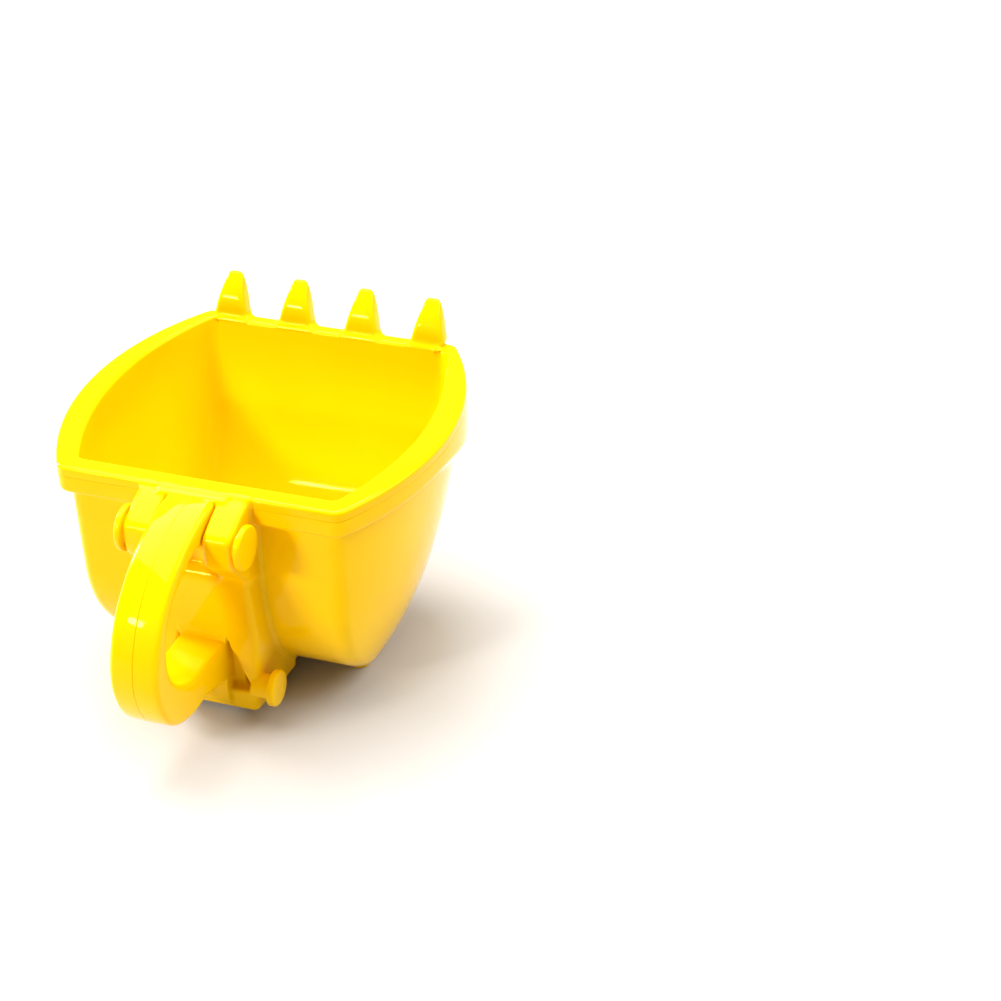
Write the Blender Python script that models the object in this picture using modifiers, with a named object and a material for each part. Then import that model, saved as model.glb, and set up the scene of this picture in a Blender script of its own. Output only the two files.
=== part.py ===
"""Excavator-bucket mug: a moulded drinking cup shaped like a digger bucket.

A double-walled cup with four digger teeth on its front lip and, at the rear, a hitch
bracket with two ears, four pin ends and a D-loop handle in two halves.

Frame: +Z up, teeth towards -Y, handle towards +Y, X is the width. The parts are built in
millimetres about the middle of the cup's mouth and hang from one empty, which puts the
origin at the bottom centre of the whole mug.
"""
import math
from collections import namedtuple

import bmesh
import bpy
from mathutils import Matrix, Vector

MM = 0.001                  # metres in one millimetre
NAME = "excavator_bucket_mug"
CENTRE_SHIFT_Y = -19.4      # mouth centre, seen from the bottom centre of the whole mug
GAP = 0.3                   # clearance between neighbouring pieces

# Heights of the cup
KEEL_Z = 2.6                # lowest line of the curved underside
SEAM_Z = 68.7               # top of the outer shell, where the liner's rim starts
RIM_Z = 71.8                # top of the rim
TOOTH_TIP_Z = 84.6

# Underside: a rounded front (superellipse) and a round heel, which meet at the keel
KEEL_Y = 10.3
FRONT_TOP_Z = 80.0
FRONT_REACH = 54.3
FRONT_POWER = 2.2
HEEL_RADIUS = 33.5
REAR_WALL_Y = 44.6

# Walls of the cup: half-widths just under the rim band, and how much each draws in below
WALL_TOP_Z = 63.0
WALL_DEPTH = 60.0           # height over which the walls draw in
REAR_HALF = 38.8
REAR_DRAW = 1.6             # with the fourth power of the depth
MID_HALF = 52.7
MID_DRAW_EVEN = 9.0         # in proportion to the depth
MID_DRAW_LOW = 7.0          # with the fourth power of the depth
FRONT_HALF = 40.6
FRONT_DRAW = 4.3            # with the 1.5th power of the depth
REAR_CORNER = 4.5           # roundings of the plan corners
FRONT_CORNER = 5.0
SIDE_ROUND = 5.0            # rounding between the side walls and the underside
SHELL_WALL = 2.2
LINER_WALL = 1.4
LINER_FLOOR_GAP = 1.0       # extra air gap under the liner's floor
LINER_SIDE_GAP = 2.2        # extra air gap beside the liner at the widest place
FLARE_HEIGHT = 14.0         # height below the rim over which the walls close up to the mouth

# Lower edge of the rim band: level at the rear, an S-curve down each side, up again at the lip
RIDGE_REAR_Z = 63.9
RIDGE_DROP = 8.9
RIDGE_DROP_FROM_Y = 8.0
RIDGE_DROP_RUN = 44.0
RIDGE_LIP_LIFT = 5.3
RIDGE_LIFT_FROM_Y = -38.0

# The crease under the band, where the wall begins
CREASE_REAR_Z = 62.8
CREASE_DROP = 13.0
CREASE_DROP_FROM_Y = 16.0
CREASE_DROP_RUN = 52.0
CREASE_LIP_LIFT = 7.6
CREASE_LIFT_FROM_Y = -36.0

# Lip and teeth
TOOTH_PITCH = 21.1
LIP_FRONT_Y = -47.8
TOOTH_COUNT = 4

# Recessed panels on the underside, between raised ribs
PANEL_PITCH = 22.0
PANEL_HALF_WIDTH = 4.9
PANEL_DEPTH = 1.1
PANEL_TOP_Z = 44.5
PANEL_END_Y = -4.0

# Feet
FOOT_X = 31.0
FOOT_ROWS_Y = (-3.9, 17.5)
FOOT_RADIUS = 3.2

# Hitch bracket
EAR_INNER_X = 8.0
EAR_OUTER_X = 15.7
PLATE_FRONT_Y = 52.0
PLATE_TOP_Z = 47.5
PLATE_FOOT_Z = 3.4
LEG_SEAT_X = 16.2           # widest point of the legs' flanks where the lower pins stand

# Pins: centre line (y, z)
UPPER_PIN = (56.2, 62.4)
LOWER_PIN = (50.0, 12.2)
SPIGOT_RADIUS = 2.4
UPPER_SPIGOT_END_X = 11.6   # inner ends of the spigots that sit in the bracket's blind holes
LOWER_SPIGOT_END_X = 13.5
SPIGOT_CLEARANCE = 0.4

# Handle
HANDLE_HALF_WIDTH = 7.0

YELLOW = (1.0, 0.62, 0.0, 1.0)

# A plan outline of the cup at one height: straight rear and front edges, bowed sides that
# pass through three half-widths, and rounded corners.
Outline = namedtuple("Outline", "rear front rear_half mid_half front_half rear_round front_round")

MOUTH_OUTER = Outline(47.5, LIP_FRONT_Y, 40.8, 55.0, 39.5, 4.5, 3.0)
MOUTH_INNER = Outline(41.4, -43.2, 37.6, 47.2, 37.0, 3.0, 3.0)

EDGE_STEPS = 3              # segments on half of a straight edge
CORNER_STEPS = 3
SIDE_STEPS = 10


# ---------------------------------------------------------------- scene and materials

def clear_scene():
    for thing in list(bpy.data.objects):
        bpy.data.objects.remove(thing, do_unlink=True)


def new_collection(name):
    group = bpy.data.collections.new(name)
    bpy.context.scene.collection.children.link(group)
    return group


def plastic(name, colour, roughness):
    """A glossy moulded plastic of one colour."""
    material = bpy.data.materials.new(name)
    material.use_nodes = True
    shader = material.node_tree.nodes["Principled BSDF"]
    shader.inputs["Base Color"].default_value = colour
    shader.inputs["Roughness"].default_value = roughness
    shader.inputs["Metallic"].default_value = 0.0
    return material


def smooth(mesh, angle=35.0):
    mesh.shade_smooth()
    mesh.set_sharp_from_angle(angle=math.radians(angle))


def add_object(name, mesh, group, parent, colour=YELLOW, roughness=0.18):
    thing = bpy.data.objects.new(name, mesh)
    thing.data.materials.append(plastic(name + "_plastic", colour, roughness))
    thing.parent = parent
    group.objects.link(thing)
    return thing


def add_cutter(name, mesh, group, parent):
    cutter = bpy.data.objects.new(name, mesh)
    cutter.hide_render = True
    cutter.display_type = "WIRE"
    cutter.parent = parent
    group.objects.link(cutter)
    return cutter


def combine(thing, other, operation):
    """Add a Boolean modifier that joins, cuts or intersects with another object."""
    modifier = thing.modifiers.new(operation.lower() + "_" + other.name, "BOOLEAN")
    modifier.operation = operation
    modifier.object = other
    modifier.solver = "EXACT"


def round_edges(thing, width, segments=2, angle=30.0):
    bevel = thing.modifiers.new("rounded_edges", "BEVEL")
    bevel.width = width * MM
    bevel.segments = segments
    bevel.limit_method = "ANGLE"
    bevel.angle_limit = math.radians(angle)


# ---------------------------------------------------------------- mesh builders

def mesh_from_bmesh(name, shape):
    bmesh.ops.recalc_face_normals(shape, faces=shape.faces)
    mesh = bpy.data.meshes.new(name)
    shape.to_mesh(mesh)
    shape.free()
    return mesh


def loft(name, rings):
    """A closed solid through rings of equal length, capped at both ends. Millimetres."""
    shape = bmesh.new()
    rows = [[shape.verts.new(Vector(point) * MM) for point in ring] for ring in rings]
    count = len(rows[0])
    for lower, upper in zip(rows, rows[1:]):
        for i in range(count):
            j = (i + 1) % count
            shape.faces.new((lower[i], lower[j], upper[j], upper[i]))
    shape.faces.new(rows[0])
    shape.faces.new(list(reversed(rows[-1])))
    return mesh_from_bmesh(name, shape)


def cylinder_along_x(name, radius, x0, x1, centre, sides=32):
    """A cylinder between two X positions, centred on (y, z)."""
    shape = bmesh.new()
    place = (Matrix.Translation(Vector(((x0 + x1) / 2, *centre)) * MM)
             @ Matrix.Rotation(math.pi / 2, 4, "Y"))
    bmesh.ops.create_cone(shape, cap_ends=True, segments=sides, radius1=radius * MM,
                          radius2=radius * MM, depth=abs(x1 - x0) * MM, matrix=place)
    return mesh_from_bmesh(name, shape)


def smoothstep(t):
    t = min(1.0, max(0.0, t))
    return t * t * (3.0 - 2.0 * t)


def catmull_rom(points, steps):
    """A smooth curve through the given points, with `steps` segments between each pair."""
    ends = [points[0]] + list(points) + [points[-1]]
    curve = []
    for a, b, c, d in zip(ends, ends[1:], ends[2:], ends[3:]):
        for step in range(steps):
            t = step / steps
            curve.append(tuple(
                0.5 * (2 * q + (r - p) * t + (2 * p - 5 * q + 4 * r - s) * t * t
                       + (3 * q - p - 3 * r + s) * t ** 3)
                for p, q, r, s in zip(a, b, c, d)))
    curve.append(tuple(points[-1]))
    return curve


# ---------------------------------------------------------------- plan outlines of the cup

def shrunk(outline, amount):
    """The outline moved inwards by an amount, outwards if it is negative."""
    return Outline(outline.rear - amount, outline.front + amount,
                   outline.rear_half - amount, outline.mid_half - amount,
                   outline.front_half - amount,
                   max(0.6, outline.rear_round - amount), max(0.6, outline.front_round - amount))


def mixed(a, b, t):
    return Outline(*(p + (q - p) * t for p, q in zip(a, b)))


def circle_through(a, b, c):
    """Centre and radius of the circle through three plan points."""
    (ax, ay), (bx, by), (cx, cy) = a, b, c
    d = 2 * (ax * (by - cy) + bx * (cy - ay) + cx * (ay - by))
    a2, b2, c2 = ax * ax + ay * ay, bx * bx + by * by, cx * cx + cy * cy
    x = (a2 * (by - cy) + b2 * (cy - ay) + c2 * (ay - by)) / d
    y = (a2 * (cx - bx) + b2 * (ax - cx) + c2 * (bx - ax)) / d
    return x, y, math.hypot(ax - x, ay - y)


def arc(x, y, radius, start, end, steps):
    return [(x + radius * math.cos(start + (end - start) * k / steps),
             y + radius * math.sin(start + (end - start) * k / steps))
            for k in range(1, steps + 1)]


def outline_points(outline):
    """The outline as a ring of plan points, starting at the middle of the rear edge."""
    o = outline
    middle = (o.rear + o.front) / 2
    bow = max(o.mid_half, (o.rear_half + o.front_half) / 2 + 0.3)
    x, y, radius = circle_through((o.rear_half, o.rear), (bow, middle), (o.front_half, o.front))

    def corner(edge_y, rounding):
        corner_x = x + math.sqrt((radius - rounding) ** 2 - (edge_y - y) ** 2)
        return corner_x, math.atan2(edge_y - y, corner_x - x)

    rear_y, front_y = o.rear - o.rear_round, o.front + o.front_round
    rear_x, rear_angle = corner(rear_y, o.rear_round)
    front_x, front_angle = corner(front_y, o.front_round)
    half = [(rear_x * k / EDGE_STEPS, o.rear) for k in range(EDGE_STEPS + 1)]
    half += arc(rear_x, rear_y, o.rear_round, math.pi / 2, rear_angle, CORNER_STEPS)
    half += arc(x, y, radius, rear_angle, front_angle, SIDE_STEPS)
    half += arc(front_x, front_y, o.front_round, front_angle, -math.pi / 2, CORNER_STEPS)
    half += [(front_x * (1 - k / EDGE_STEPS), o.front) for k in range(1, EDGE_STEPS + 1)]
    return half + [(-px, py) for px, py in reversed(half[1:-1])]


def wall_outline(z, inset=0.0, floor_gap=0.0):
    """The cup's outer wall at height z, moved inwards by `inset` all over."""
    keel = KEEL_Z + inset + floor_gap
    depth = min(1.0, max(0.0, (WALL_TOP_Z - z) / WALL_DEPTH))
    above_keel = max(z - keel, 0.0)

    drop = (FRONT_TOP_Z - z) / (FRONT_TOP_Z - keel)
    front = KEEL_Y - (FRONT_REACH - inset) * (1 - min(1.0, drop) ** FRONT_POWER) ** (1 / FRONT_POWER)

    heel = HEEL_RADIUS - inset
    below_centre = max(0.0, heel - above_keel)
    rear = REAR_WALL_Y - HEEL_RADIUS + math.sqrt(max(0.0, heel ** 2 - below_centre ** 2))

    lift = max(0.0, SIDE_ROUND - above_keel) / SIDE_ROUND
    pull_in = inset + SIDE_ROUND * (1 - math.sqrt(1 - lift ** 2))
    length = rear - front
    return Outline(rear, front,
                   REAR_HALF - REAR_DRAW * depth ** 4 - pull_in,
                   MID_HALF - MID_DRAW_EVEN * depth - MID_DRAW_LOW * depth ** 4 - pull_in,
                   FRONT_HALF - FRONT_DRAW * depth ** 1.5 - pull_in,
                   min(REAR_CORNER, 0.4 * length), min(FRONT_CORNER, 0.4 * length))


def wall_heights(top, keel, steps):
    """Heights from the top down to just above the keel, closer together near the keel."""
    return [keel + 0.12 + (top - keel - 0.12) * (1 - math.sin(math.pi / 2 * k / steps))
            for k in range(steps + 1)]


def flat_ring(outline, z):
    return [(x, y, z) for x, y in outline_points(outline)]


def draped_ring(outline_at, heights):
    """A ring whose points have their own heights, each placed on the outline at that height."""
    return [(*outline_points(outline_at(z))[i], z) for i, z in enumerate(heights)]


def ridge_height(y):
    """Height of the rim band's lower edge."""
    level = RIDGE_REAR_Z - RIDGE_DROP * smoothstep((RIDGE_DROP_FROM_Y - y) / RIDGE_DROP_RUN)
    lift = max(0.0, (RIDGE_LIFT_FROM_Y - y) / (RIDGE_LIFT_FROM_Y - LIP_FRONT_Y))
    return level + RIDGE_LIP_LIFT * lift ** 3


def crease_height(y):
    """Height of the crease under the rim band."""
    level = CREASE_REAR_Z - CREASE_DROP * smoothstep((CREASE_DROP_FROM_Y - y) / CREASE_DROP_RUN)
    lift = max(0.0, (CREASE_LIFT_FROM_Y - y) / (CREASE_LIFT_FROM_Y - LIP_FRONT_Y))
    return level + CREASE_LIP_LIFT * lift ** 2


def outside_rings(outset=0.0, top=SEAM_Z):
    """The cup's outside from the top of the band down to the keel, moved out by `outset`."""
    band = shrunk(MOUTH_OUTER, -outset)
    plan = outline_points(MOUTH_OUTER)
    ridge = [(x, y, ridge_height(py) - outset)
             for (x, y), (_, py) in zip(outline_points(band), plan)]
    creases = [crease_height(y) - outset for _, y in plan]
    keel = KEEL_Z - outset
    rings = [flat_ring(band, top), ridge]
    for share in (0.0, 0.12, 0.28, 0.44, 0.6, 0.74, 0.86, 0.94, 0.985, 0.998):
        heights = [crease + (keel - crease) * share for crease in creases]
        rings.append(draped_ring(lambda z: wall_outline(z, -outset), heights))
    return rings


def cup_cutter(group, parent):
    """The cup's outside grown by the clearance: it trims what stands against the cup."""
    mesh = loft("cup_clearance", outside_rings(GAP, RIM_Z + 8.0))
    return add_cutter("cup_clearance", mesh, group, parent)


# ---------------------------------------------------------------- cup: shell and liner

def flared_outline(z, inset, floor_gap=0.0, side_gap=0.0):
    """The cup's wall moved in by `inset`, closing up to the mouth's inner edge near the rim."""
    wall = wall_outline(z, inset, floor_gap)
    sides = wall._replace(mid_half=wall.mid_half - side_gap)
    mouth = shrunk(MOUTH_INNER, inset - (SHELL_WALL + GAP + LINER_WALL))
    return mixed(mouth, sides, smoothstep((RIM_Z - z) / FLARE_HEIGHT))


def panel_cutter(group, parent, core, x):
    """A slab that sinks one recessed panel into the underside, as deep as PANEL_DEPTH."""
    rings = [[(x + side * PANEL_HALF_WIDTH, y, z)
              for y, z in ((-60.0, PANEL_TOP_Z), (-60.0, -5.0), (PANEL_END_Y, -5.0), (PANEL_END_Y, 6.0),
                           (-30.0, PANEL_TOP_Z))]
             for side in (-1, 1)]
    cutter = add_cutter("panel_cut_%+d" % round(x), loft("panel_cut", rings), group, parent)
    combine(cutter, core, "DIFFERENCE")
    return cutter


def make_outer_shell(parts, cutters, parent):
    """Outside of the cup: rim band, lip plate, bowed walls and ribbed underside."""
    floor = KEEL_Z + SHELL_WALL
    inside = [flat_ring(flared_outline(z, SHELL_WALL), z)
              for z in reversed(wall_heights(SEAM_Z, floor, 11))]
    rings = inside + outside_rings()
    shell = add_object("outer_shell", loft("outer_shell", rings), parts, parent)

    core_rings = [flat_ring(wall_outline(z, PANEL_DEPTH), z)
                  for z in wall_heights(62.0, KEEL_Z + PANEL_DEPTH, 12)]
    core = add_cutter("panel_floor", loft("panel_floor", core_rings), cutters, parent)
    for k in (-1, 0, 1):
        combine(shell, panel_cutter(cutters, parent, core, k * PANEL_PITCH), "DIFFERENCE")
    smooth(shell.data)
    return shell


def make_inner_liner(parts, parent):
    """Inside of the cup: a smooth basin whose flange makes the top of the rim."""
    back = SHELL_WALL + GAP
    face = back + LINER_WALL
    gaps = (LINER_FLOOR_GAP, LINER_SIDE_GAP)
    keel = KEEL_Z + LINER_FLOOR_GAP
    inner = [flat_ring(flared_outline(z, face, *gaps), z)
             for z in reversed(wall_heights(RIM_Z - 1.2, keel + face, 11))]
    rim = [flat_ring(shrunk(MOUTH_INNER, -0.4), RIM_Z - 0.35),
           flat_ring(shrunk(MOUTH_INNER, -1.2), RIM_Z),
           flat_ring(shrunk(MOUTH_OUTER, 1.6), RIM_Z),
           flat_ring(shrunk(MOUTH_OUTER, 0.5), RIM_Z - 0.5),
           flat_ring(MOUTH_OUTER, RIM_Z - 1.6),
           flat_ring(MOUTH_OUTER, SEAM_Z + GAP)]
    outer = [flat_ring(flared_outline(z, back, *gaps), z)
             for z in wall_heights(SEAM_Z + GAP, keel + back, 11)]
    liner = add_object("inner_liner", loft("inner_liner", inner + rim + outer), parts, parent)
    smooth(liner.data)
    return liner


# ---------------------------------------------------------------- teeth and feet

def make_teeth(parts, parent):
    """Four teeth that hook over the lip: a front face, a tip and a back that slopes inwards."""
    profile = (   # (y, z, half-width) round the side view, from the foot of the front face
        (-50.9, 59.6, 3.6), (-52.2, 72.0, 3.6), (-52.6, 80.5, 3.4), (-52.3, 83.8, 2.4),
        (-51.4, TOOTH_TIP_Z, 2.2), (-50.2, 83.6, 2.3), (-46.6, 79.4, 3.6), (-43.4, 74.0, 4.9),
        (-43.2, RIM_Z + GAP, 5.2), (LIP_FRONT_Y - GAP, RIM_Z + GAP, 5.8),
        (LIP_FRONT_Y - GAP, 59.6, 5.8))
    for k in range(TOOTH_COUNT):
        x = (k - (TOOTH_COUNT - 1) / 2) * TOOTH_PITCH
        rings = [[(x + side * half, y, z) for y, z, half in profile] for side in (-1, 1)]
        tooth = add_object("tooth_%d" % (k + 1), loft("tooth", rings), parts, parent)
        round_edges(tooth, 0.6)
        smooth(tooth.data)


def make_feet(parts, parent, clearance):
    for row, y in zip(("front", "rear"), FOOT_ROWS_Y):
        for side, x in (("left", FOOT_X), ("right", -FOOT_X)):
            shape = bmesh.new()
            bmesh.ops.create_cone(shape, cap_ends=True, segments=24, radius1=FOOT_RADIUS * MM,
                                  radius2=(FOOT_RADIUS + 0.5) * MM, depth=10 * MM,
                                  matrix=Matrix.Translation((0, 0, 5 * MM)))
            mesh = mesh_from_bmesh("foot", shape)
            smooth(mesh)
            foot = add_object("foot_%s_%s" % (row, side), mesh, parts, parent)
            foot.location = (x * MM, y * MM, 0)
            combine(foot, clearance, "DIFFERENCE")


# ---------------------------------------------------------------- hitch bracket and pins

def mirrored_outline(half):
    """A closed (x, z) outline from its +X half, which runs from top to bottom."""
    return list(half) + [(-x, z) for x, z in reversed(half)]


def tapered_plate(name, outline, back_y, front_y, back_scale):
    """A plate facing +Y from an (x, z) outline, wider at its back."""
    rings = [[(x * scale, y, z) for x, z in outline]
             for y, scale in ((back_y, back_scale), (front_y, 1.0))]
    return loft(name, rings)


def block(name, x0, x1, side_view):
    """A solid between two X positions from a (y, z) side view."""
    return loft(name, [[(x, y, z) for y, z in side_view] for x in (x0, x1)])


def make_bracket(parts, cutters, parent, clearance):
    """Back plate with legs and a crossbar, two ears beside the handle, and blind pin holes."""
    plate_half = ((14.8, PLATE_TOP_Z), (15.6, 36.0), (16.2, 24.0), (15.4, 14.0), (14.6, PLATE_FOOT_Z))
    window_half = ((HANDLE_HALF_WIDTH + 0.4, 27.6), (HANDLE_HALF_WIDTH + 0.4, 25.0),
                   (12.6, 13.5), (12.6, 10.4))
    plate = tapered_plate("hitch_bracket", mirrored_outline(plate_half), 30.0, PLATE_FRONT_Y, 1.12)
    bracket = add_object("hitch_bracket", plate, parts, parent)

    web_view = ((40.0, 46.0), (47.0, 46.0), (47.0, 56.4), (40.0, 56.4))
    web = block("web", -EAR_INNER_X - 1, EAR_INNER_X + 1, web_view)
    combine(bracket, add_cutter("ear_web", web, cutters, parent), "UNION")

    ear_view = ((40.0, 71.4), (48.2, 71.4), (58.8, 67.4), (60.6, 66.2), (61.2, 64.4), (60.6, 56.6),
                (58.6, 54.6), (PLATE_FRONT_Y - 0.2, 46.6), (40.0, 46.6))
    for side, sign in (("left", 1), ("right", -1)):
        ear = block("ear", sign * EAR_INNER_X, sign * EAR_OUTER_X, ear_view)
        combine(bracket, add_cutter("ear_" + side, ear, cutters, parent), "UNION")

    window = tapered_plate("window", mirrored_outline(window_half), 28.0, 60.0, 1.0)
    combine(bracket, add_cutter("handle_window", window, cutters, parent), "DIFFERENCE")
    for side, sign in (("left", 1), ("right", -1)):
        for level, centre, end_x in (("upper", UPPER_PIN, UPPER_SPIGOT_END_X),
                                     ("lower", LOWER_PIN, LOWER_SPIGOT_END_X)):
            hole = cylinder_along_x("hole", SPIGOT_RADIUS + SPIGOT_CLEARANCE,
                                    sign * (end_x - SPIGOT_CLEARANCE), sign * 20.0, centre, 20)
            cutter = add_cutter("%s_hole_%s" % (level, side), hole, cutters, parent)
            combine(bracket, cutter, "DIFFERENCE")
    combine(bracket, clearance, "DIFFERENCE")
    smooth(bracket.data)
    return bracket


def make_pin(parts, parent, name, profile, sign, centre):
    """A turned pin end: an (x, radius) profile about the pin's own axis, head outwards."""
    shape = bmesh.new()
    points = [shape.verts.new((radius * MM, 0, x * MM)) for x, radius in profile]
    for a, b in zip(points, points[1:]):
        shape.edges.new((a, b))
    mesh = bpy.data.meshes.new(name)
    shape.to_mesh(mesh)
    shape.free()
    pin = add_object(name, mesh, parts, parent)
    turn = pin.modifiers.new("turned", "SCREW")
    turn.steps = 32
    turn.render_steps = 32
    turn.use_merge_vertices = True
    turn.merge_threshold = 0.00001
    turn.use_smooth_shade = True
    pin.location = (0, centre[0] * MM, centre[1] * MM)
    pin.rotation_euler = (0, sign * math.pi / 2, 0)


def make_pins(parts, parent):
    """Four pin ends. Profiles run from the outer face inwards along the axis."""
    neck = EAR_OUTER_X + GAP
    upper = ((neck + 2.9, 0), (neck + 2.8, 3.6), (neck + 2.4, 5.3), (neck + 1.8, 6.2), (neck + 1.0, 6.2),
             (neck + 0.8, 5.8), (neck + 0.8, 3.6), (neck, 3.6), (neck, SPIGOT_RADIUS),
             (UPPER_SPIGOT_END_X, SPIGOT_RADIUS), (UPPER_SPIGOT_END_X, 0))
    seat = LEG_SEAT_X + GAP
    lower = ((seat + 4.6, 0), (seat + 4.5, 3.4), (seat + 4.1, 4.7), (seat + 3.4, 5.2), (seat + 2.5, 5.2),
             (seat + 2.3, 4.9), (seat + 2.3, 3.6), (seat, 3.6), (seat, SPIGOT_RADIUS),
             (LOWER_SPIGOT_END_X, SPIGOT_RADIUS), (LOWER_SPIGOT_END_X, 0))
    for side, sign in (("left", 1), ("right", -1)):
        make_pin(parts, parent, "upper_pin_" + side, upper, sign, UPPER_PIN)
        make_pin(parts, parent, "lower_pin_" + side, lower, sign, LOWER_PIN)


# ---------------------------------------------------------------- handle

def make_handle(parts, parent, clearance):
    """A D-loop handle in two halves that meet along its centre line."""
    crest = ((38.0, 71.4), (46.0, 71.4), (55.0, 71.0), (64.0, 69.0), (74.0, 64.6), (83.0, 57.3),
             (88.8, 48.5), (91.4, 38.5), (89.4, 29.0), (84.0, 21.5), (75.0, 17.2), (64.0, 16.2),
             (50.0, 16.2), (34.0, 16.2))
    opening = ((38.0, 57.0), (46.0, 57.0), (54.0, 58.0), (61.5, 63.6), (71.0, 60.6), (78.6, 56.2),
               (83.2, 49.5), (84.2, 41.2), (82.0, 35.0), (77.5, 30.8), (71.0, 28.0), (62.0, 27.0),
               (50.0, 26.9), (34.0, 26.9))
    section = (   # (x, depth below the crest, height above the opening); None keeps to one side
        (GAP / 2, 0.0, None), (3.4, 0.3, None), (5.4, 0.9, None), (6.5, 1.7, None),
        (HANDLE_HALF_WIDTH, 2.9, None), (HANDLE_HALF_WIDTH, None, 1.6), (6.5, None, 0.5),
        (5.4, None, 0.0), (GAP / 2, None, 0.0))
    outer = catmull_rom(crest, 3)
    inner = catmull_rom(opening, 3)
    for side, sign in (("left", 1), ("right", -1)):
        rings = []
        for (oy, oz), (iy, iz) in zip(outer, inner):
            across = Vector((0, iy - oy, iz - oz)).normalized()
            ring = []
            for x, below, above in section:
                base = Vector((sign * x, oy, oz)) + across * below if above is None else (
                    Vector((sign * x, iy, iz)) - across * above)
                ring.append(base)
            rings.append(ring)
        half = add_object("handle_" + side, loft("handle_" + side, rings), parts, parent)
        combine(half, clearance, "DIFFERENCE")
        smooth(half.data)


# ---------------------------------------------------------------- assembly

def build():
    clear_scene()
    parts = new_collection(NAME)
    cutters = new_collection("cutters")
    root = bpy.data.objects.new(NAME, None)
    root.location = (0, CENTRE_SHIFT_Y * MM, 0)
    parts.objects.link(root)

    clearance = cup_cutter(cutters, root)
    make_outer_shell(parts, cutters, root)
    make_inner_liner(parts, root)
    make_teeth(parts, root)
    make_feet(parts, root, clearance)
    make_bracket(parts, cutters, root, clearance)
    make_pins(parts, root)
    make_handle(parts, root, clearance)


build()
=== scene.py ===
"""Looks for the excavator-bucket mug: fine surfaces, glossy plastic, floor, light and camera.

Lengths are millimetres about the middle of the cup's mouth: +Z up, teeth towards -Y, handle
towards +Y, X the width. The place of the mouth comes from the CAD frame, and so do the places
of the teeth, the pins and the feet.
"""
import math
from collections import namedtuple

import bmesh
import bpy
import numpy as np
from mathutils import Matrix, Vector


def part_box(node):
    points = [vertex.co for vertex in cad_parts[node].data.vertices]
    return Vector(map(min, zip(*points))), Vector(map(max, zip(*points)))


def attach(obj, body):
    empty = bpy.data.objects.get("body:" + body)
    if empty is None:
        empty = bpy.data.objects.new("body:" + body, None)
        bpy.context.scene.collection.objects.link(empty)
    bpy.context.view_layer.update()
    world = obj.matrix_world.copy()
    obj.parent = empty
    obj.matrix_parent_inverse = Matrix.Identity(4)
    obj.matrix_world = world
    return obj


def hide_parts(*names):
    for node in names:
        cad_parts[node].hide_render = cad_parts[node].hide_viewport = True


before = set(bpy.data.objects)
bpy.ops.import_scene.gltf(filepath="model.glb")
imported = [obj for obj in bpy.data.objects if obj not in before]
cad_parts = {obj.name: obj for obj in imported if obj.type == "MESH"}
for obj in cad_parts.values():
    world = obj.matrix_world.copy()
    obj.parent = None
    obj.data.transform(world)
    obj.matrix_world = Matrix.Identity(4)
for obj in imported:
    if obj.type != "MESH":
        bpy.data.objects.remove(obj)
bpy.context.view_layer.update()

MM = 0.001
BODY = "root"

# ---------------------------------------------------------------- sizes of the cup

Outline = namedtuple("Outline", "rear front rear_half mid_half front_half rear_round front_round")
MOUTH_OUTER = Outline(47.5, -47.8, 40.8, 55.0, 39.5, 4.5, 3.0)
MOUTH_INNER = Outline(41.4, -43.2, 37.6, 47.2, 37.0, 3.0, 3.0)

RIM_Z = 71.8
SEAM_Z = 68.85
SEAM_GAP = 0.02             # between shell and liner at the seam line
SEAM_ROUND = 0.16
SEAM_DEPTH = 1.6            # how far the faces between shell and liner reach in
KEEL_Z = 2.6

KEEL_Y = 10.3               # underside: superellipse front, circular heel
FRONT_TOP_Z = 80.0
FRONT_REACH = 54.3
FRONT_POWER = 2.2
HEEL_RADIUS = 33.5
REAR_WALL_Y = 44.6

WALL_TOP_Z = 63.0           # half-widths under the rim band and how they draw in below it
WALL_DEPTH = 60.0
REAR_HALF = 38.8
REAR_DRAW = 1.6
MID_HALF = 52.7
MID_DRAW_EVEN = 9.0
MID_DRAW_LOW = 7.0
FRONT_HALF = 40.6
FRONT_DRAW = 4.3
REAR_CORNER = 4.5
FRONT_CORNER = 5.0
SIDE_ROUND = 5.0
TIP = 0.02                  # a ring stops this far short of the height where it would close
SHELL_WALL = 2.2
LINER_BACK = 2.5            # liner's two faces, in from the cup's outside
LINER_FACE = 3.9
LINER_FLOOR_GAP = 1.0
LINER_SIDE_GAP = 2.2
FLARE_HEIGHT = 24.0         # the basin's walls close up to the mouth's edge over this height
FLARE_POWER = 1.25

RIDGE_REAR_Z = 63.9         # lower edge of the rim band
RIDGE_DROP = 8.9
RIDGE_DROP_FROM_Y = 8.0
RIDGE_DROP_RUN = 44.0
RIDGE_LIP_LIFT = 5.3
RIDGE_LIFT_FROM_Y = -38.0
CREASE_REAR_Z = 62.8        # crease under the band, where the wall begins
CREASE_DROP = 13.0
CREASE_DROP_FROM_Y = 16.0
CREASE_DROP_RUN = 52.0
CREASE_LIP_LIFT = 7.6
CREASE_LIFT_FROM_Y = -36.0
RIDGE_ROUND = 1.0
LIP_EDGE_ROUND = 2.8        # the band's lower edge is softer at the lip
LIP_FROM_Y = -30.0
LIP_RUN = 14.0
LIP_CREASE_Z = 57.0
CORNER_SHARE = 0.45         # most of a face that one rounded corner takes
CREASE_ROUND = 1.4
RIM_OUTER_ROUND = 1.3
RIM_INNER_ROUND = 1.2

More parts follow.
